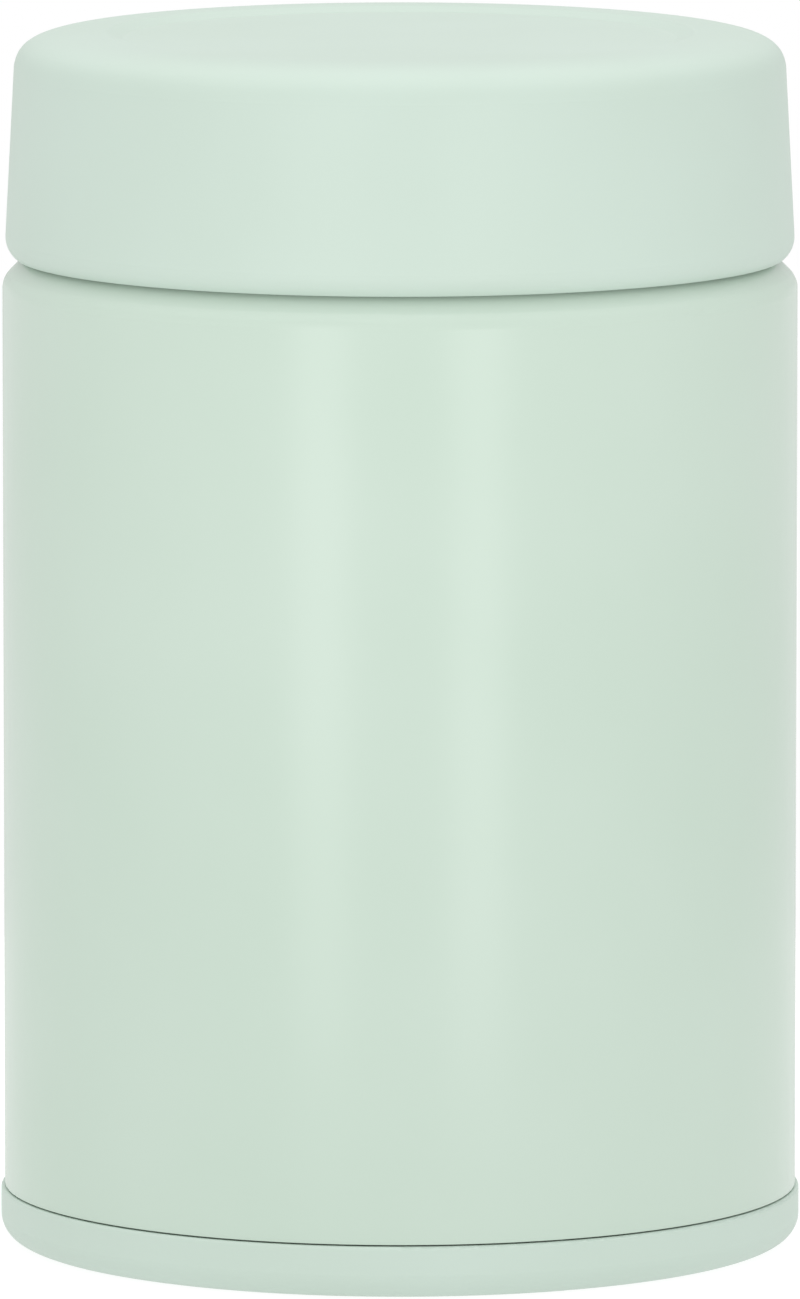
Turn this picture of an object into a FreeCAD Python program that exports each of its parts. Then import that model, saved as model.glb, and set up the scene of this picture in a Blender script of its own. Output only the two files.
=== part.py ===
"""A vacuum insulated food jar with a screw lid, in millimetres.

The jar is a double-walled steel vessel with a moulded base cover. Its two-piece lid carries an
insulated inner lid with a ring gasket and a vent valve in its middle. +Z is up, and the origin is
the middle of the face that the jar stands on. Every radius is built outwards from the mouth, and
every height is built up from the base, so each named size can be changed by itself.
"""
import FreeCAD
import Part
import math
import os

# Broken edges, on steel and small parts, and softer ones on mouldings
edge_round = 0.3
soft_edge_round = 0.4
tip_round = 0.1

# Jar, radii
mouth_radius = 30.0
vessel_wall = 0.3
neck_vacuum_gap = 2.3
shell_wall = 0.4
chamber_flare = 0.8
neck_radius = mouth_radius + vessel_wall + neck_vacuum_gap + shell_wall
chamber_radius = mouth_radius + chamber_flare

# Jar, heights
base_floor = 1.6
base_height = 5.2
seam_gap = 0.16
body_height = 94.87
shoulder_rise = 2.33
neck_height = 11.73
vessel_floor_gap = 12.8
shell_bottom_z = base_height + seam_gap
step_z = body_height + shoulder_rise
rim_z = body_height + neck_height

# Jar, forms
shoulder_round = 2.1
step_round = 0.6
neck_root_round = 1.0
rim_lip = 0.6
rim_round = 1.0
mouth_bend_round = 1.0
chamber_corner_round = 10.0
chamber_mouth_drop = 12.6
chamber_mouth_slope = 2.0

# Bottom plate of the outer shell, which closes the vacuum
plate_wall = 0.4
plate_lap = 5.5
plate_corner_round = 1.5
plate_fit = 0.05
plate_ring_width = 8.0
plate_rise = 1.8
port_dimple_radius = 4.6
port_dimple_rise = 1.2
port_radius = 1.5
seal_radius = 3.4
seal_thickness = 1.0
seal_head = 0.3
seal_round = 0.6
seal_fit = 0.02

# Getter in the vacuum space
getter_radius = 4.2
getter_thickness = 2.8
getter_place = 15.0
clip_wall = 0.3
clip_fit = 0.1
clip_lip = 0.8

# Copper foil round the vessel
foil_thickness = 0.12
foil_fit = 0.05
foil_bottom_margin = 2.0
foil_top_margin = 6.0

# Base cover
base_step = 0.36
base_wall = 2.0
base_fit = 0.1
base_corner_round = 2.4
base_rim_round = 0.3
foot_ring_width = 9.0
foot_hollow = 0.6
snap_height = 0.3
snap_width = 0.8
snap_drop = 1.1
snap_fit = 0.1

# Screw thread between neck and lid
thread_starts = 2
thread_lead = 8.0
thread_height = 1.4
thread_width = 2.4
lid_thread_width = 2.2
thread_radial_gap = 0.4
thread_flank_gap = 0.3
thread_edge = 0.3
thread_bite = 0.2
thread_fade = 28.0
thread_step = 12.0
thread_least_steps = 8
thread_tip_height = 0.1
thread_tip_width = 0.5
hump_fullness = 0.34
hump_half_share = 0.33
thread_offset = (thread_width + lid_thread_width) * hump_half_share + thread_flank_gap

# Lid, radii, and the cone of the shoulder that its rim sits round
liner_wall = 1.5
lid_fit = 0.1
step_overlap = 0.24
shoulder_width = 2.33
step_fit = 0.56
lid_rim_width = 0.5
lid_edge_width = 1.05
lid_taper = 0.052
liner_radius = neck_radius + thread_height + thread_radial_gap + liner_wall
liner_bore = liner_radius - liner_wall
lid_bore = liner_radius + lid_fit
step_radius = lid_bore + step_overlap
body_radius = step_radius + shoulder_width
lid_rim_bore = step_radius + step_fit
lid_rim_radius = lid_rim_bore + lid_rim_width
lid_radius = lid_rim_radius + lid_edge_width

# Lid, heights, from the rim of the mouth upwards
gasket_flange = 1.2
inner_flange = 1.8
press_rib_height = 2.3
liner_plate = 1.6
foam_space = 3.05
lid_top_wall = 2.0
recess_depth = 0.55
lid_overlap = 0.1
lid_rim_height = 0.5
inner_flange_z = rim_z + gasket_flange
press_z = inner_flange_z + inner_flange
liner_plate_z = press_z + press_rib_height
liner_top_z = liner_plate_z + liner_plate
lid_ceiling_z = liner_top_z + foam_space
recess_z = lid_ceiling_z + lid_top_wall
lid_top_z = recess_z + recess_depth
lid_bottom_z = step_z - lid_overlap
liner_bottom_z = lid_bottom_z + lid_rim_height

# Lid, forms
lid_edge_height = 2.1
lid_edge_lean = 38.0
lid_edge_pull = 0.81
crown_drop = 3.65
crown_reach = 7.75
crown_side_pull = 2.81
crown_top_pull = 5.31
recess_radius = 27.1
recess_slope = 1.65
recess_round = 0.7
lid_inner_round = 3.0
liner_round = 0.8
weld_rib_width = 1.4
weld_rib_inset = 3.3
press_rib_width = 1.6
press_rib_inset = 2.6
key_count = 6
key_width = 2.8
key_depth = 0.7
key_height = 2.4
key_root = 0.75
key_fit = 0.1

# Inner lid, the insulated plug in the mouth
plug_gap = 1.4
plug_wall = 1.6
plug_depth = 18.6
plug_corner_round = 2.0
inner_flange_overlap = 3.8
plug_radius = mouth_radius - plug_gap
cover_thickness = 1.6
cover_ledge = 0.9
cover_fit = 0.1
foam_fit = 0.1
foam_round = 1.2
plug_bottom_z = rim_z - plug_depth
plug_floor_z = plug_bottom_z + plug_wall
cover_z = press_z - cover_thickness
duct_radius = 5.5
duct_wall = 1.3

# Ring gasket of the inner lid
gasket_fit = 0.05
gasket_sleeve = 0.65
gasket_sleeve_length = 5.6
gasket_lip = 0.45
gasket_lip_height = 0.9
gasket_lip_count = 2
gasket_lip_pitch = 2.4
gasket_edge = 0.4
bead_height = 0.5
bead_width = 1.0
bead_gap = 0.1

# Vent valve
vent_hole_radius = 4.0
vent_button_gap = 0.3
vent_button_inset = 0.2
vent_seat_width = 1.0
vent_disc = 1.4
barb_radius = 1.5
barb_length = 1.5
barb_fit = 0.1
foot_thickness = 1.2
stem_radius = 2.4
stem_rib = 1.2
stem_rib_count = 4
stem_clearance = 0.5
vent_travel = 1.2
vent_neck_radius = 2.6
vent_neck_gap = 0.4
vent_flange_width = 2.0
vent_flange = 1.2
knob_overhang = 1.3
knob_height = 1.2
knob_play = 0.1
knob_slot = 0.8
knob_slot_floor = 0.3
cut_overrun = 1.0
knob_space = 1.6


def at(radius, height, angle=0.0):
    """The point at that radius, height and angle in degrees about the jar's axis."""
    turn = math.radians(angle)
    return FreeCAD.Vector(radius * math.cos(turn), radius * math.sin(turn), height)


def outline(corners):
    """Closed wire in the XZ plane through (radius, height) corners.

    A third value rounds its corner. An entry with two pulls, as ("curve", pull, pull, corner), joins
    the corner before it to its own corner with one smooth curve whose ends lean along the pulls.
    """
    curves = {}
    points = []
    for corner in corners:
        if corner[0] == "curve":
            curves[len(points) - 1] = corner[1:3]
            corner = corner[3]
        points.append(corner)
    count = len(points)
    ends = []
    for i in range(count):
        here = at(points[i][0], points[i][1])
        if len(points[i]) < 3:
            ends.append((here, None, here))
            continue
        back = at(points[i - 1][0], points[i - 1][1]) - here
        ahead = at(points[(i + 1) % count][0], points[(i + 1) % count][1]) - here
        back.normalize()
        ahead.normalize()
        half = back.getAngle(ahead) / 2
        reach = points[i][2] / math.tan(half)
        inward = back + ahead
        inward.normalize()
        middle = here + inward * (points[i][2] / math.sin(half) - points[i][2])
        ends.append((here + back * reach, middle, here + ahead * reach))
    edges = []
    for i in range(count):
        start, middle, end = ends[i]
        following = ends[(i + 1) % count][0]
        if middle is not None:
            edges.append(Part.Arc(start, middle, end).toShape())
        if i in curves:
            first, second = curves[i]
            curve = Part.BezierCurve()
            curve.setPoles([end, end + first, following + second, following])
            edges.append(curve.toShape())
        elif (following - end).Length > 1e-6:
            edges.append(Part.LineSegment(end, following).toShape())
    return Part.Wire(edges)


def turned(corners):
    """The solid that an outline makes when it turns once round the axis."""
    solid = Part.Face(outline(corners)).revolve(at(0, 0), FreeCAD.Vector(0, 0, 1), 360)
    if solid.ShapeType != "Solid":
        solid = Part.Solid(solid.Shells[0])
    if solid.Volume < 0:
        solid.reverse()
    return solid


def disc(radius, low, high):
    """A plain round disc on the axis."""
    return Part.makeCylinder(radius, high - low, at(0, low))


def block_at(angle, inner, outer, width, low, high):
    """A bar of that width that runs outwards from the axis, turned to the angle."""
    bar = Part.makeBox(outer - inner, width, high - low, FreeCAD.Vector(inner, -width / 2, low))
    bar.rotate(at(0, 0), FreeCAD.Vector(0, 0, 1), angle)
    return bar


def hump(angle, height, foot_radius, crest_radius, width):
    """One section of a thread ridge: a smooth hump on a straight foot, in the plane at that angle."""
    rise = (crest_radius - foot_radius) * 4 / 3
    low = height - width / 2
    high = height + width / 2
    crown_low = height - width * hump_fullness
    crown_high = height + width * hump_fullness
    curve = Part.BezierCurve()
    curve.setPoles([
        at(foot_radius, low, angle),
        at(foot_radius + rise, crown_low, angle),
        at(foot_radius + rise, crown_high, angle),
        at(foot_radius, high, angle),
    ])
    foot = Part.LineSegment(at(foot_radius, high, angle), at(foot_radius, low, angle))
    return Part.Wire([curve.toShape(), foot.toShape()])


def ridge(start_angle, sweep, start_z, wall_radius, crest_radius, width, bite):
    """A right-handed thread ridge that rises out of the wall at one end and back into it at the other."""
    steps = max(thread_least_steps, math.ceil(sweep / thread_step))
    fade = min(thread_fade, sweep / 3)
    sections = []
    for i in range(steps + 1):
        along = sweep * i / steps
        share = min(1.0, along / fade, (sweep - along) / fade)
        share = thread_tip_height + (1 - thread_tip_height) * math.sin(share * math.pi / 2) ** 2
        height = start_z + thread_lead * along / 360
        crest = wall_radius + (crest_radius - wall_radius) * share
        ridge_width = width * (thread_tip_width + (1 - thread_tip_width) * share)
        sections.append(hump(start_angle + along, height, wall_radius + bite, crest, ridge_width))
    return Part.makeLoft(sections, True, False)


def thread_room():
    """Lowest and highest height for the middle of a ridge on the neck."""
    low = step_z + neck_root_round + thread_width / 2
    high = rim_z - rim_lip - thread_edge - thread_width / 2
    return low, high


def neck_ridges():
    """The ridges rolled into the steel neck, one for each start."""
    low, high = thread_room()
    sweep = (high - low) / thread_lead * 360
    crest = neck_radius + thread_height
    spacing = 360 / thread_starts
    return [
        ridge(spacing * i, sweep, low, neck_radius, crest, thread_width, -thread_bite)
        for i in range(thread_starts)
    ]


def liner_ridges():
    """The ridges moulded in the liner's bore, which sit below those on the neck."""
    low, high = thread_room()
    first = max(low - thread_offset, liner_bottom_z + thread_edge + lid_thread_width / 2)
    last = high - thread_offset
    start = (first + thread_offset - low) / thread_lead * 360
    sweep = (last - first) / thread_lead * 360
    crest = liner_bore - thread_height
    spacing = 360 / thread_starts
    return [
        ridge(start + spacing * i, sweep, first, liner_bore, crest, lid_thread_width, thread_bite)
        for i in range(thread_starts)
    ]


def outer_shell():
    """Painted steel side wall, coned shoulder and threaded neck, in one drawn piece."""
    inner_body = body_radius - shell_wall
    inner_neck = neck_radius - shell_wall
    slope = math.atan2(shoulder_rise, shoulder_width)
    under_body = body_height - shell_wall * math.tan((math.pi / 2 - slope) / 2)
    inner_step = step_radius - shell_wall * math.tan(slope / 2)
    under_step = step_z - shell_wall
    top = rim_z - rim_lip
    wall = turned([
        (body_radius, shell_bottom_z),
        (body_radius, body_height, shoulder_round),
        (step_radius, step_z, step_round),
        (neck_radius, step_z, neck_root_round),
        (neck_radius, top),
        (inner_neck, top),
        (inner_neck, under_step, neck_root_round + shell_wall),
        (inner_step, under_step, step_round - shell_wall),
        (inner_body, under_body, shoulder_round - shell_wall),
        (inner_body, shell_bottom_z),
    ])
    return wall.fuse(neck_ridges())


def vessel_bottom():
    """Height of the outside of the vessel's bottom."""
    return base_floor + plate_rise + plate_wall + vessel_floor_gap


def inner_vessel():
    """The steel vessel that holds the food, with a rolled lip on top of the neck."""
    outer = chamber_radius + vessel_wall
    bottom = vessel_bottom()
    mouth_low = rim_z - chamber_mouth_drop
    mouth_start = mouth_low - chamber_mouth_slope
    lip_under = rim_z - rim_lip
    return turned([
        (0, bottom),
        (outer, bottom, chamber_corner_round + vessel_wall),
        (outer, mouth_start, mouth_bend_round),
        (mouth_radius + vessel_wall, mouth_low, mouth_bend_round),
        (mouth_radius + vessel_wall, lip_under, rim_round - rim_lip),
        (neck_radius, lip_under),
        (neck_radius, rim_z, rim_lip / 2),
        (mouth_radius, rim_z, rim_round),
        (mouth_radius, mouth_low, mouth_bend_round),
        (chamber_radius, mouth_start, mouth_bend_round),
        (chamber_radius, bottom + vessel_wall, chamber_corner_round),
        (0, bottom + vessel_wall),
    ])


def plate_side_radius():
    """Outside of the bottom plate where the base cover snaps round it."""
    return body_radius + base_step - base_wall - base_fit


def plate_plateau_z():
    """Underside of the raised middle of the bottom plate."""
    return base_floor + plate_rise


def snap_z():
    """Height of the middle of the snap bead."""
    return base_height - snap_drop


def bottom_plate():
    """Pressed steel plate: lapped into the shell, with a raised middle and a dimple at the port."""
    side = plate_side_radius()
    lap = body_radius - shell_wall - plate_fit
    low = base_floor
    plateau = plate_plateau_z()
    dimple = plateau + port_dimple_rise
    ring = side - plate_corner_round - plate_ring_width
    lap_top = shell_bottom_z + plate_lap
    groove = snap_height + snap_fit
    groove_low = snap_z() - snap_width / 2 - snap_fit
    groove_high = snap_z() + snap_width / 2 + snap_fit
    t = plate_wall
    return turned([
        (side, groove_low),
        (side - groove, groove_low + groove),
        (side - groove, groove_high - groove),
        (side, groove_high),
        (side, shell_bottom_z),
        (lap, shell_bottom_z),
        (lap, lap_top),
        (lap - t, lap_top),
        (lap - t, shell_bottom_z + t),
        (side - t, shell_bottom_z + t),
        (side - t, groove_high + t / 2),
        (side - groove - t, groove_high - groove),
        (side - groove - t, groove_low + groove),
        (side - t, groove_low - t / 2),
        (side - t, low + t, plate_corner_round - t),
        (ring, low + t),
        (ring - plate_rise, plateau + t),
        (port_dimple_radius + port_dimple_rise, plateau + t),
        (port_dimple_radius, dimple + t),
        (port_radius, dimple + t),
        (port_radius, dimple),
        (port_dimple_radius - t, dimple),
        (port_dimple_radius - t + port_dimple_rise, plateau),
        (ring - plate_rise - t, plateau),
        (ring - t, low),
        (side, low, plate_corner_round),
    ])


def vacuum_seal():
    """The glass bead that closes the port after the air is drawn out."""
    dimple = plate_plateau_z() + port_dimple_rise
    neck = port_radius - seal_fit
    return turned([
        (0, dimple - seal_thickness),
        (seal_radius, dimple - seal_thickness, seal_round),
        (seal_radius, dimple),
        (neck, dimple),
        (neck, dimple + plate_wall + seal_head, seal_head / 2),
        (0, dimple + plate_wall + seal_head),
    ])


def moved_out(shape):
    """The shape shifted to the getter's place on the plate."""
    shape.translate(FreeCAD.Vector(getter_place, 0, 0))
    return shape


def getter_floor_z():
    """Top of the bottom plate under the getter."""
    return plate_plateau_z() + plate_wall


def getter_clip():
    """Small pressed cup welded to the plate, with a lip that holds the pellet."""
    inside = getter_radius + clip_fit
    floor = getter_floor_z()
    pellet_top = floor + clip_wall + getter_thickness + clip_fit
    return moved_out(turned([
        (0, floor),
        (inside + clip_wall, floor),
        (inside + clip_wall, pellet_top + clip_wall),
        (inside - clip_lip, pellet_top + clip_wall),
        (inside - clip_lip, pellet_top),
        (inside, pellet_top),
        (inside, floor + clip_wall),
        (0, floor + clip_wall),
    ]))


def getter_pellet():
    """Pressed powder pellet that takes up stray gas in the vacuum."""
    low = getter_floor_z() + clip_wall
    return moved_out(disc(getter_radius, low, low + getter_thickness))


def radiation_foil():
    """Thin foil wrapped on the vessel inside the vacuum."""
    inside = chamber_radius + vessel_wall + foil_fit
    low = vessel_bottom() + chamber_corner_round + foil_bottom_margin
    high = rim_z - chamber_mouth_drop - chamber_mouth_slope - foil_top_margin
    return disc(inside + foil_thickness, low, high).cut(disc(inside, low, high))


def base_cover():
    """Moulded cup under the jar: the ring below the seam, the foot ring and the snap bead."""
    outside = body_radius + base_step
    inside = outside - base_wall
    foot = outside - base_corner_round - foot_ring_width
    bead_low = snap_z() - snap_width / 2
    bead_high = snap_z() + snap_width / 2
    return turned([
        (0, foot_hollow),
        (foot - foot_hollow, foot_hollow),
        (foot, 0),
        (outside, 0, base_corner_round),
        (outside, base_height, base_rim_round),
        (inside, base_height, base_rim_round),
        (inside, bead_high),
        (inside - snap_height, bead_high - snap_height),
        (inside - snap_height, bead_low + snap_height),
        (inside, bead_low),
        (inside, base_floor, plate_corner_round - base_fit),
        (0, base_floor),
    ])


def lid_shell():
    """The visible lid: turned-in rim, tapered side, soft crown and a shallow round recess on top."""
    upwards = FreeCAD.Vector(-lid_taper, 0, 1)
    side_pull = upwards * crown_side_pull
    top_pull = FreeCAD.Vector(crown_top_pull, 0, 0)
    lean = math.radians(lid_edge_lean)
    rim_pull = at(math.cos(lean), math.sin(lean)) * lid_edge_pull
    edge_pull = upwards * -lid_edge_pull
    edge_radius = lid_radius - lid_edge_height * lid_taper
    crown_z = lid_top_z - crown_drop
    crown_radius = lid_radius - (crown_z - lid_bottom_z) * lid_taper
    shell = turned([
        (lid_bore, liner_bottom_z),
        (lid_rim_bore, liner_bottom_z),
        (lid_rim_bore, lid_bottom_z, tip_round),
        (lid_rim_radius, lid_bottom_z),
        ("curve", rim_pull, edge_pull, (edge_radius, lid_bottom_z + lid_edge_height)),
        (crown_radius, crown_z),
        ("curve", side_pull, top_pull, (crown_radius - crown_reach, lid_top_z)),
        (recess_radius + recess_slope, lid_top_z, recess_round),
        (recess_radius, recess_z, recess_round),
        (0, recess_z),
        (0, lid_ceiling_z),
        (lid_bore, lid_ceiling_z, lid_inner_round),
    ])
    low = liner_bottom_z + key_fit
    high = liner_bottom_z + key_height
    inner = lid_bore - lid_fit - key_depth + key_fit
    keys = [
        block_at(360 / key_count * i, inner, lid_bore + key_root, key_width, low, high)
        for i in range(key_count)
    ]
    return shell.fuse(keys)


def lid_liner():
    """The threaded cup inside the lid, with the rib that presses on the inner lid."""
    weld_outer = liner_radius - weld_rib_inset
    press_outer = liner_bore - press_rib_inset
    hole = vent_neck_radius + vent_neck_gap
    liner = turned([
        (hole, liner_plate_z),
        (press_outer - press_rib_width, liner_plate_z),
        (press_outer - press_rib_width, press_z, edge_round),
        (press_outer, press_z, edge_round),
        (press_outer, liner_plate_z),
        (liner_bore, liner_plate_z, liner_round),
        (liner_bore, liner_bottom_z, edge_round),
        (liner_radius, liner_bottom_z),
        (liner_radius, liner_top_z, liner_round),
        (weld_outer, liner_top_z),
        (weld_outer, lid_ceiling_z),
        (weld_outer - weld_rib_width, lid_ceiling_z),
        (weld_outer - weld_rib_width, liner_top_z),
        (hole, liner_top_z),
    ])
    width = key_width + 2 * key_fit
    high = liner_bottom_z + key_height + key_fit
    notches = [
        block_at(360 / key_count * i, liner_radius - key_depth, liner_radius + cut_overrun, width,
                 liner_bottom_z - cut_overrun, high)
        for i in range(key_count)
    ]
    return liner.fuse(liner_ridges()).cut(notches)


def lid_foam():
    """Insulating disc between the liner and the top of the lid."""
    inner = vent_neck_radius + knob_overhang + knob_space
    outer = liner_radius - weld_rib_inset - weld_rib_width - foam_fit
    low = liner_top_z
    high = lid_ceiling_z - foam_fit
    return disc(outer, low, high).cut(disc(inner, low, high))


def inner_lid_cup():
    """The plug's lower half: cup, flange, vent duct and the bead that keeps the gasket on."""
    flange = plug_radius + inner_flange_overlap
    inside = plug_radius - plug_wall
    bead_high = rim_z - gasket_sleeve_length - bead_gap
    bead_low = bead_high - bead_width
    duct_outer = duct_radius + duct_wall
    return turned([
        (vent_hole_radius, plug_bottom_z, soft_edge_round),
        (plug_radius, plug_bottom_z, plug_corner_round),
        (plug_radius, bead_low),
        (plug_radius + bead_height, bead_high - bead_height / 2),
        (plug_radius + bead_height, bead_high),
        (plug_radius, bead_high),
        (plug_radius, inner_flange_z),
        (flange, inner_flange_z, soft_edge_round),
        (flange, press_z, soft_edge_round),
        (inside + cover_ledge, press_z),
        (inside + cover_ledge, cover_z),
        (inside, cover_z),
        (inside, plug_floor_z, foam_round - foam_fit),
        (duct_outer, plug_floor_z),
        (duct_outer, cover_z),
        (duct_radius, cover_z),
        (duct_radius, plug_floor_z),
        (vent_hole_radius, plug_floor_z),
    ])


def inner_lid_cover():
    """Round plate welded on top of the cup over the insulation."""
    outer = plug_radius - plug_wall + cover_ledge - cover_fit
    inner = vent_neck_radius + vent_neck_gap
    return disc(outer, cover_z, press_z).cut(disc(inner, cover_z, press_z))


def inner_lid_foam():
    """Ring of insulation inside the plug."""
    inner = duct_radius + duct_wall + foam_fit
    outer = plug_radius - plug_wall - foam_fit
    return turned([
        (inner, plug_floor_z),
        (outer, plug_floor_z, foam_round),
        (outer, cover_z - foam_fit),
        (inner, cover_z - foam_fit),
    ])


def lid_gasket():
    """Silicone ring: a flange that lies on the rim and a sleeve with lips inside the mouth."""
    inner = plug_radius + gasket_fit
    sleeve = inner + gasket_sleeve
    lip = sleeve + gasket_lip
    flange = plug_radius + inner_flange_overlap - gasket_edge
    bottom = rim_z - gasket_sleeve_length
    lips = []
    for i in range(gasket_lip_count):
        low = bottom + gasket_edge + gasket_lip_pitch * i
        lips += [
            (sleeve, low),
            (lip, low + gasket_lip_height / 2, tip_round),
            (sleeve, low + gasket_lip_height),
        ]
    return turned([
        (inner, bottom),
        (sleeve, bottom),
        *lips,
        (sleeve, rim_z),
        (flange, rim_z, edge_round),
        (flange, inner_flange_z, edge_round),
        (inner, inner_flange_z),
    ])


def vent_gasket():
    """Silicone plug in the vent hole, with a disc that seals on the plug's floor."""
    button = vent_hole_radius - vent_button_gap
    seal = vent_hole_radius + vent_seat_width
    bore = barb_radius + barb_fit
    top = plug_floor_z + vent_disc
    return turned([
        (0, plug_bottom_z + vent_button_inset),
        (button, plug_bottom_z + vent_button_inset, soft_edge_round),
        (button, plug_floor_z),
        (seal, plug_floor_z),
        (seal, top, tip_round),
        (bore, top),
        (bore, top - barb_length - barb_fit),
        (0, top - barb_length - barb_fit),
    ])


def vent_plunger():
    """Ribbed stem that carries the vent gasket and hangs in the lid by a split knob."""
    foot_z = plug_floor_z + vent_disc
    rib_top = cover_z - vent_travel
    rib_reach = duct_radius - stem_clearance
    flange = vent_neck_radius + vent_flange_width
    knob = vent_neck_radius + knob_overhang
    knob_z = liner_top_z + knob_play
    body = turned([
        (0, foot_z - barb_length),
        (barb_radius, foot_z - barb_length, edge_round),
        (barb_radius, foot_z),
        (rib_reach, foot_z),
        (rib_reach, foot_z + foot_thickness),
        (stem_radius, foot_z + foot_thickness),
        (stem_radius, rib_top),
        (vent_neck_radius, rib_top),
        (vent_neck_radius, liner_plate_z - vent_flange),
        (flange, liner_plate_z - vent_flange, tip_round),
        (flange, liner_plate_z),
        (vent_neck_radius, liner_plate_z),
        (vent_neck_radius, knob_z),
        (knob, knob_z),
        (knob, knob_z + knob_height, soft_edge_round),
        (0, knob_z + knob_height),
    ])
    ribs = [
        block_at(360 / stem_rib_count * i, 0, rib_reach, stem_rib, foot_z, rib_top)
        for i in range(stem_rib_count)
    ]
    slot = block_at(0, -knob - cut_overrun, knob + cut_overrun, knob_slot,
                    liner_plate_z + knob_slot_floor, knob_z + knob_height + cut_overrun)
    return body.fuse(ribs).cut(slot)


pieces = {
    "outer_shell": outer_shell,
    "inner_vessel": inner_vessel,
    "bottom_plate": bottom_plate,
    "vacuum_seal": vacuum_seal,
    "getter_clip": getter_clip,
    "getter_pellet": getter_pellet,
    "radiation_foil": radiation_foil,
    "base_cover": base_cover,
    "lid_shell": lid_shell,
    "lid_liner": lid_liner,
    "lid_foam": lid_foam,
    "inner_lid_cup": inner_lid_cup,
    "inner_lid_cover": inner_lid_cover,
    "inner_lid_foam": inner_lid_foam,
    "lid_gasket": lid_gasket,
    "vent_gasket": vent_gasket,
    "vent_plunger": vent_plunger,
}

os.makedirs("parts", exist_ok=True)
for name, make in pieces.items():
    piece = make()
    piece.exportStep(f"parts/{name}.step")
    print(name, "solids", len(piece.Solids), "volume", round(piece.Volume, 1), "valid", piece.isValid())
print("height", round(lid_top_z, 2), "diameter", round(2 * (body_radius + base_step), 2))
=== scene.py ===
import bpy
import math
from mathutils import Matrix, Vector


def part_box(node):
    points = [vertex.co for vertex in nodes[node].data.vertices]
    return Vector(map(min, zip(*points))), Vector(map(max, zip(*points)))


# An insulated food jar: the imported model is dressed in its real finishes, and lit as in a studio.
# Everything is in metres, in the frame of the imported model.

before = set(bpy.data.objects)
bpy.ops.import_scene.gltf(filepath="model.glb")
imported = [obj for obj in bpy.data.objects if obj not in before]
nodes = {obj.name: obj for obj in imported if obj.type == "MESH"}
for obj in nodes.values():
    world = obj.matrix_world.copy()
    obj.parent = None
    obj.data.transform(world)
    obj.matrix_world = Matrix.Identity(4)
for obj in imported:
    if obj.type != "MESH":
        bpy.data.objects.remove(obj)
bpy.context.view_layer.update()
scene = bpy.context.scene
mm = 0.001


def linear(hexColour):
    # sRGB hex to linear: a straight toe below 0.04045, and a power of 2.4 above it
    values = [int(hexColour[i:i + 2], 16) / 255 for i in (1, 3, 5)]
    return [v / 12.92 if v <= 0.04045 else ((v + 0.055) / 1.055) ** 2.4 for v in values] + [1.0]


def addNode(tree, kind, inputs=None, **settings):
    # one node with its settings; an input takes a value or another node's output
    node = tree.nodes.new(kind)
    for name, value in settings.items():
        setattr(node, name, value)
    for key, value in (inputs or {}).items():
        if isinstance(value, bpy.types.NodeSocket):
            tree.links.new(value, node.inputs[key])
        else:
            node.inputs[key].default_value = value
    return node


def newMaterial(name, uniform):
    # a material whose shader takes the uniform values on its own sockets
    material = bpy.data.materials.new(name)
    material.use_nodes = True
    tree = material.node_tree
    tree.nodes.clear()
    shader = addNode(tree, "ShaderNodeBsdfPrincipled", uniform)
    addNode(tree, "ShaderNodeOutputMaterial", {"Surface": shader.outputs[0]})
    place = addNode(tree, "ShaderNodeTexCoord").outputs["Object"]
    return material, tree, shader, place


detailLook = {"grain": 2.0, "cloud": 3.0, "line": 4.0}  # how many finer layers each pattern holds


def speckle(tree, place, size, kind):
    # a noise pattern whose specks are about that many metres across
    return addNode(tree, "ShaderNodeTexNoise", {
        "Vector": place, "Scale": 1 / size, "Detail": detailLook[kind]}).outputs[0]


def tint(tree, factor, edges, colours):
    # the first colour below the lower edge of the factor, the second above the higher, mixed between
    ramp = addNode(tree, "ShaderNodeValToRGB", {"Fac": factor})
    for stop, edge, colour in zip(ramp.color_ramp.elements, edges, colours):
        stop.position = edge
        stop.color = linear(colour)
    return ramp.outputs["Color"]


def spread(tree, factor, low, high):
    # a factor of 0 to 1 turned into a value from low to high
    return addNode(tree, "ShaderNodeMapRange", {"Value": factor, "To Min": low, "To Max": high}).outputs[0]


def roughen(tree, shader, height, distance):
    # a bump of that real height in metres
    bump = addNode(tree, "ShaderNodeBump", {"Height": height, "Distance": distance})
    tree.links.new(bump.outputs[0], shader.inputs["Normal"])


def dress(tree, shader, look, tone, skin):
    # the tone pattern mixes the two colours, and the skin pattern sets the shine and the bump
    tree.links.new(tint(tree, tone, look["edges"], look["colours"]), shader.inputs["Base Color"])
    if "rough" in look:
        tree.links.new(spread(tree, skin, *look["rough"]), shader.inputs["Roughness"])
    if "bump" in look:
        roughen(tree, shader, skin, look["bump"])


def blended(tree, share, first, second, kind):
    # the second value where the share is 1, and the first where it is 0
    mix = addNode(tree, "ShaderNodeMix", data_type=kind)
    a, b, out = {"FLOAT": (2, 3, 0), "RGBA": (6, 7, 2)}[kind]  # the node's sockets for each kind
    for socket, value in ((0, share), (a, first), (b, second)):
        tree.links.new(value, mix.inputs[socket])
    return mix.outputs[out]


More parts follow.
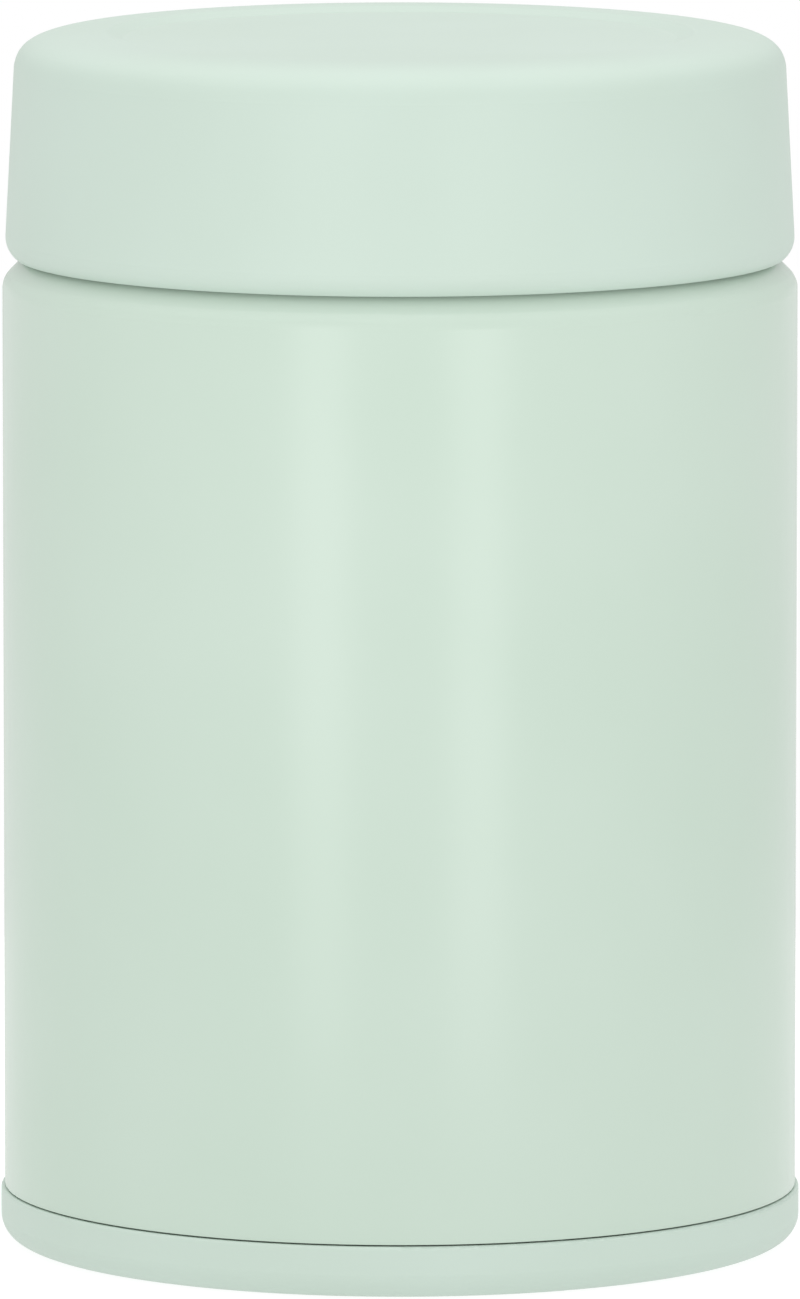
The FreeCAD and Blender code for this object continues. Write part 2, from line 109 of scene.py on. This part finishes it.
def beltLines(tree, place):
    # stainless steel finished on a belt: fine lines run round the wall and blur its shine sideways
    look = {"line": 0.16 * mm, "alongLine": 1 * mm, "cloud": 9 * mm,
            "edges": (0.3, 0.7), "colours": ("#b9b8b4", "#cbcac6"), "rough": (0.28, 0.40)}
    x, y, z = addNode(tree, "ShaderNodeSeparateXYZ", {"Vector": place}).outputs
    flat = addNode(tree, "ShaderNodeCombineXYZ", {"X": x, "Y": y}).outputs[0]
    radius = addNode(tree, "ShaderNodeVectorMath", {0: flat}, operation="LENGTH").outputs["Value"]
    turn = addNode(tree, "ShaderNodeMath", {0: y, 1: x}, operation="ARCTAN2").outputs[0]
    slow = addNode(tree, "ShaderNodeMath", {0: turn, 1: look["alongLine"]},
                   operation="MULTIPLY").outputs[0]
    rings = addNode(tree, "ShaderNodeCombineXYZ", {"X": radius, "Y": slow, "Z": z}).outputs[0]
    lines = speckle(tree, rings, look["line"], "line")
    clouds = speckle(tree, place, look["cloud"], "cloud")
    return tint(tree, clouds, look["edges"], look["colours"]), spread(tree, lines, *look["rough"]), lines


def paintedSteel():
    # powder paint on steel, baked: an even satin skin with a faint orange peel in the gloss.
    # The paint ends under the lid's lower edge, and the neck above it is bare steel.
    look = {"peel": 1.1 * mm, "bump": 0.0025 * mm, "cloud": 35 * mm, "underLid": 0.05 * mm,
            "fade": 0.06 * mm, "edges": (0.35, 0.65), "colours": ("#c5d7c9", "#c8d9cc"),
            "rough": (0.22, 0.27)}
    material, tree, shader, place = newMaterial(
        "satinPowderPaint", {"IOR": 1.5, "Specular IOR Level": 0.42})
    clouds = speckle(tree, place, look["cloud"], "cloud")
    peel = speckle(tree, place, look["peel"], "grain")
    paint = tint(tree, clouds, look["edges"], look["colours"])
    satin = spread(tree, peel, *look["rough"])
    steelColour, steelRough, lines = beltLines(tree, place)
    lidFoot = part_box("lid_shell")[0][2]
    paintEnd = lidFoot - look["underLid"]
    height = addNode(tree, "ShaderNodeSeparateXYZ", {"Vector": place}).outputs[2]
    bare = addNode(tree, "ShaderNodeMapRange", {
        "Value": height, "From Min": paintEnd, "From Max": paintEnd + look["fade"]}).outputs[0]
    tree.links.new(blended(tree, bare, paint, steelColour, "RGBA"), shader.inputs["Base Color"])
    tree.links.new(blended(tree, bare, satin, steelRough, "FLOAT"), shader.inputs["Roughness"])
    tree.links.new(bare, shader.inputs["Metallic"])
    roughen(tree, shader, blended(tree, bare, peel, lines, "FLOAT"), look["bump"])
    return material


def mouldedMint():
    # polypropylene moulded against a fine spark-eroded tool: a soft satin with a tiny grain
    look = {"grain": 0.35 * mm, "bump": 0.004 * mm, "cloud": 40 * mm,
            "edges": (0.35, 0.65), "colours": ("#c6d7cb", "#c9dacf"), "rough": (0.40, 0.46)}
    material, tree, shader, place = newMaterial("mouldedPolypropyleneMint", {"IOR": 1.49})
    clouds = speckle(tree, place, look["cloud"], "cloud")
    dress(tree, shader, look, clouds, speckle(tree, place, look["grain"], "grain"))
    return material


def mouldedPale(name, colours):
    # uncoloured plastic: pale, slightly waxy, and a little light goes into it
    look = {"grain": 0.5 * mm, "bump": 0.003 * mm, "cloud": 18 * mm,
            "edges": (0.3, 0.7), "colours": colours, "rough": (0.34, 0.42)}
    material, tree, shader, place = newMaterial(
        name, {"IOR": 1.49, "Subsurface Weight": 0.15, "Subsurface Scale": 1.2 * mm})
    clouds = speckle(tree, place, look["cloud"], "cloud")
    dress(tree, shader, look, clouds, speckle(tree, place, look["grain"], "grain"))
    return material


def satinSteel():
    # the vessel and the plates: bare stainless steel with the belt's fine lines
    look = {"bump": 0.002 * mm}
    material, tree, shader, place = newMaterial("satinStainlessSteel", {"Metallic": 1.0})
    colour, rough, lines = beltLines(tree, place)
    tree.links.new(colour, shader.inputs["Base Color"])
    tree.links.new(rough, shader.inputs["Roughness"])
    roughen(tree, shader, lines, look["bump"])
    return material


def silicone():
    # cured food silicone: milky, soft in its shine, and light passes a little way through
    look = {"dust": 0.7 * mm, "bump": 0.004 * mm,
            "edges": (0.3, 0.7), "colours": ("#e4e5e0", "#edeee9"), "rough": (0.42, 0.55)}
    material, tree, shader, place = newMaterial(
        "milkySilicone", {"IOR": 1.41, "Subsurface Weight": 0.4, "Subsurface Scale": 1.5 * mm})
    dust = speckle(tree, place, look["dust"], "cloud")
    dress(tree, shader, look, dust, dust)
    return material


def expandedFoam():
    # expanded polystyrene: white beads of about 3 mm pressed together, with fine dark seams
    look = {"bead": 3.0 * mm, "bump": 0.12 * mm,
            "edges": (0.0, 0.12), "colours": ("#d9dad6", "#f0f0ec")}
    material, tree, shader, place = newMaterial("expandedPolystyrene", {"IOR": 1.3, "Roughness": 0.85})
    seams = addNode(tree, "ShaderNodeTexVoronoi", {
        "Vector": place, "Scale": 1 / look["bead"]}, feature="DISTANCE_TO_EDGE").outputs[0]
    dress(tree, shader, look, seams, seams)
    return material


def copperFoil():
    # bright rolled copper foil, wrapped by hand: small creases break its mirror
    look = {"crease": 7 * mm, "bump": 0.15 * mm,
            "edges": (0.3, 0.7), "colours": ("#d9895f", "#e79c73"), "rough": (0.14, 0.26)}
    material, tree, shader, place = newMaterial("rolledCopperFoil", {"Metallic": 1.0})
    haze = speckle(tree, place, look["crease"], "cloud")
    creases = addNode(tree, "ShaderNodeTexVoronoi", {
        "Vector": place, "Scale": 1 / look["crease"]}).outputs[0]
    tree.links.new(tint(tree, haze, look["edges"], look["colours"]), shader.inputs["Base Color"])
    tree.links.new(spread(tree, haze, *look["rough"]), shader.inputs["Roughness"])
    roughen(tree, shader, creases, look["bump"])
    return material


def getterPowder():
    # pressed metal powder: dark, dull and grainy
    look = {"grain": 0.25 * mm, "bump": 0.03 * mm,
            "edges": (0.35, 0.65), "colours": ("#2b2a29", "#4b4947")}
    material, tree, shader, place = newMaterial(
        "pressedGetterPowder", {"Metallic": 0.5, "Roughness": 0.7})
    grain = speckle(tree, place, look["grain"], "cloud")
    dress(tree, shader, look, grain, grain)
    return material


def sealingGlass():
    # a bead of dark sealing glass that has melted and set with a smooth skin
    look = {"flow": 1.2 * mm, "edges": (0.3, 0.7), "colours": ("#1d252c", "#33404a")}
    material, tree, shader, place = newMaterial("moltenSealingGlass", {"IOR": 1.6, "Roughness": 0.08})
    flow = speckle(tree, place, look["flow"], "grain")
    dress(tree, shader, look, flow, flow)
    return material


steel = satinSteel()
mint = mouldedMint()
natural = mouldedPale("mouldedPolypropyleneNatural", ("#e3e5df", "#e9ebe6"))
white = mouldedPale("mouldedAcetalWhite", ("#ecece8", "#f1f1ee"))
milky = silicone()
foam = expandedFoam()
finishes = {
    "outer_shell": paintedSteel(), "base_cover": mint, "lid_shell": mint,
    "inner_vessel": steel, "bottom_plate": steel, "getter_clip": steel,
    "lid_liner": natural, "inner_lid_cup": natural, "inner_lid_cover": natural, "vent_plunger": white,
    "lid_gasket": milky, "vent_gasket": milky, "lid_foam": foam, "inner_lid_foam": foam,
    "radiation_foil": copperFoil(), "getter_pellet": getterPowder(), "vacuum_seal": sealingGlass(),
}
for name, material in finishes.items():
    mesh = nodes[name].data
    mesh.materials.clear()
    mesh.materials.append(material)
print("finishes are on", len(finishes), "nodes")


def floorMaterial(look):
    # a white table lit from within, a little brighter to the camera, so that it meets the white
    # backdrop. From below it is clear, so that the jar's underside can be looked at.
    material = bpy.data.materials.new("whiteTable")
    material.use_nodes = True
    tree = material.node_tree
    tree.nodes.clear()
    card = addNode(tree, "ShaderNodeBsdfDiffuse", {"Color": linear(look["colour"])})
    seen = addNode(tree, "ShaderNodeLightPath").outputs["Is Camera Ray"]
    glow = spread(tree, seen, look["glow"], look["seenGlow"])
    lift = addNode(tree, "ShaderNodeEmission", {"Color": linear("#ffffff"), "Strength": glow})
    both = addNode(tree, "ShaderNodeAddShader", {0: card.outputs[0], 1: lift.outputs[0]})
    clear = addNode(tree, "ShaderNodeBsdfTransparent")
    under = addNode(tree, "ShaderNodeNewGeometry").outputs["Backfacing"]
    sided = addNode(tree, "ShaderNodeMixShader", {0: under, 1: both.outputs[0], 2: clear.outputs[0]})
    addNode(tree, "ShaderNodeOutputMaterial", {"Surface": sided.outputs[0]})
    return material


floorLook = {"size": 0.4, "level": -0.05 * mm, "colour": "#808180", "glow": 0.735, "seenGlow": 0.86}
half = floorLook["size"] / 2
corners = [(x * half, y * half, floorLook["level"]) for x, y in ((-1, -1), (1, -1), (1, 1), (-1, 1))]
floorMesh = bpy.data.meshes.new("floor")
floorMesh.from_pydata(corners, [], [(0, 1, 2, 3)])
floorMesh.materials.append(floorMaterial(floorLook))
floor = bpy.data.objects.new("floor", floorMesh)
scene.collection.objects.link(floor)
print("floor is in place")


def whiteRoom(look):
    # a white room: its light goes smoothly from the wall in front to the wall behind, grows towards
    # the ceiling, and comes up from around the table too. The camera sees it as plain white.
    world = bpy.data.worlds.new("room")
    world.use_nodes = True
    tree = world.node_tree
    tree.nodes.clear()
    way = addNode(tree, "ShaderNodeTexCoord").outputs["Generated"]
    axes = addNode(tree, "ShaderNodeSeparateXYZ", {"Vector": way}).outputs
    walls = addNode(tree, "ShaderNodeMapRange", {
        "Value": axes["Y"], "From Min": look["frontEdge"], "From Max": look["backEdge"],
        "To Min": look["front"], "To Max": look["back"]}, interpolation_type="SMOOTHSTEP").outputs[0]
    ceiling = addNode(tree, "ShaderNodeMapRange", {
        "Value": axes["Z"], "From Min": look["ceilingEdge"], "To Max": look["ceiling"]},
        interpolation_type="SMOOTHSTEP").outputs[0]
    above = addNode(tree, "ShaderNodeMath", {0: walls, 1: ceiling}, operation="ADD").outputs[0]
    below = addNode(tree, "ShaderNodeMapRange", {
        "Value": axes["Z"], "From Min": 0.0, "From Max": look["belowEdge"],
        "To Max": look["below"]}).outputs[0]
    light = addNode(tree, "ShaderNodeMath", {0: above, 1: below}, operation="MAXIMUM").outputs[0]
    rays = addNode(tree, "ShaderNodeLightPath").outputs
    seen = addNode(tree, "ShaderNodeMath", {0: rays["Is Camera Ray"], 1: rays["Is Transmission Ray"]},
                   operation="ADD", use_clamp=True).outputs[0]
    level = spread(tree, seen, light, look["seen"])
    sky = addNode(tree, "ShaderNodeBackground", {"Color": linear("#ffffff"), "Strength": level})
    addNode(tree, "ShaderNodeOutputWorld", {"Surface": sky.outputs[0]})
    return world


# light levels, and the edges between them: parts of a ray's direction, from -1 to 1
roomLook = {"front": 0.725, "back": 0.70, "frontEdge": -0.2, "backEdge": 0.9,
            "ceiling": 0.81, "ceilingEdge": 0.35, "below": 0.87, "belowEdge": -0.02, "seen": 1.0}
scene.world = whiteRoom(roomLook)


def softBox(look, side):
    # a tall flat lamp beside the camera, turned to the jar's middle: it draws one of the two soft
    # bands on the wall
    lamp = bpy.data.lights.new("stripLamp", "AREA")
    lamp.shape = "RECTANGLE"
    lamp.size = look["width"]
    lamp.size_y = look["tall"]
    lamp.energy = look["power"]
    turn = math.radians(look["turn"]) * side
    spot = Vector((look["distance"] * math.sin(turn), -look["distance"] * math.cos(turn), look["height"]))
    holder = bpy.data.objects.new("stripLamp", lamp)
    holder.location = spot
    holder.rotation_euler = (Vector((0, 0, look["aim"])) - spot).to_track_quat("-Z", "Y").to_euler()
    scene.collection.objects.link(holder)


# the lamps reach below the table's level, so that the bands run far down the wall
lampLook = {"turn": 22.5, "distance": 1.2, "height": -0.06, "aim": 0.06,
            "width": 0.32, "tall": 0.9, "power": 1.8}
for side in (-1, 1):
    softBox(lampLook, side)
print("room and lamps are in place")

# The camera stands well back, a little above the lid, and looks down on the jar.
cameraLook = {"distance": 1.6005, "height": 0.26701, "down": 7.435, "lens": 455.14, "sensor": 36.0,
              "near": 0.01, "far": 100}
camera = bpy.data.objects.new("camera", bpy.data.cameras.new("camera"))
camera.location = (0, -cameraLook["distance"], cameraLook["height"])
camera.rotation_euler = (math.radians(90 - cameraLook["down"]), 0, 0)
camera.data.lens = cameraLook["lens"]
camera.data.sensor_width = cameraLook["sensor"]
camera.data.clip_start = cameraLook["near"]
camera.data.clip_end = cameraLook["far"]
scene.collection.objects.link(camera)
scene.camera = camera
scene.view_settings.view_transform = "Standard"
print("camera is set")
